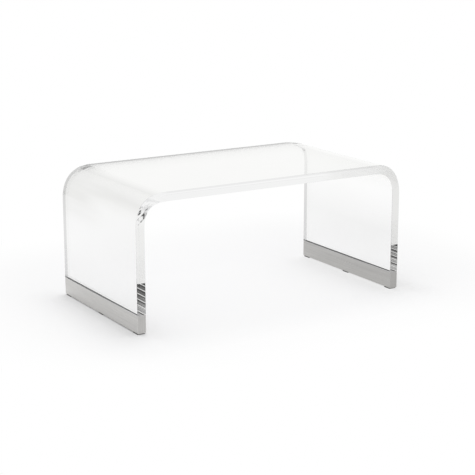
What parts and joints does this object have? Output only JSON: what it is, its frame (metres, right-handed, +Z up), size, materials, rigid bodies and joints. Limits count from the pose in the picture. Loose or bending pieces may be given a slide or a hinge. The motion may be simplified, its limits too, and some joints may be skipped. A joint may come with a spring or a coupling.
{
  "type": "waterfall coffee table",
  "caption": "Low coffee table made of one thick clear acrylic sheet bent down at both ends, with brushed-steel shoes on its feet and thin floor pads.",
  "frame": {"origin": "on the floor, under the middle of the table", "axes": "+X along the table's length towards the right foot, +Y towards the rear, +Z up; the front faces -Y"},
  "size_m": [1.016, 0.533, 0.445],
  "materials": {
    "clear_acrylic": "polished",
    "brushed_steel": "satin",
    "bond_adhesive": "matte",
    "insert_brass": "satin",
    "screw_steel": "satin",
    "pad_rubber": "matte"
  },
  "bodies": {
    "root": {"acrylic_sheet": "clear_acrylic", "left_shoe_channel": "brushed_steel", "left_front_end_plate": "brushed_steel", "left_rear_end_plate": "brushed_steel", "left_bond_liner": "bond_adhesive", "left_threaded_inserts": "insert_brass", "left_pad_screws": "screw_steel", "left_front_floor_pad": "pad_rubber", "left_middle_floor_pad": "pad_rubber", "left_rear_floor_pad": "pad_rubber", "right_shoe_channel": "brushed_steel", "right_front_end_plate": "brushed_steel", "right_rear_end_plate": "brushed_steel", "right_bond_liner": "bond_adhesive", "right_threaded_inserts": "insert_brass", "right_pad_screws": "screw_steel", "right_front_floor_pad": "pad_rubber", "right_middle_floor_pad": "pad_rubber", "right_rear_floor_pad": "pad_rubber"}
  },
  "joints": []
}
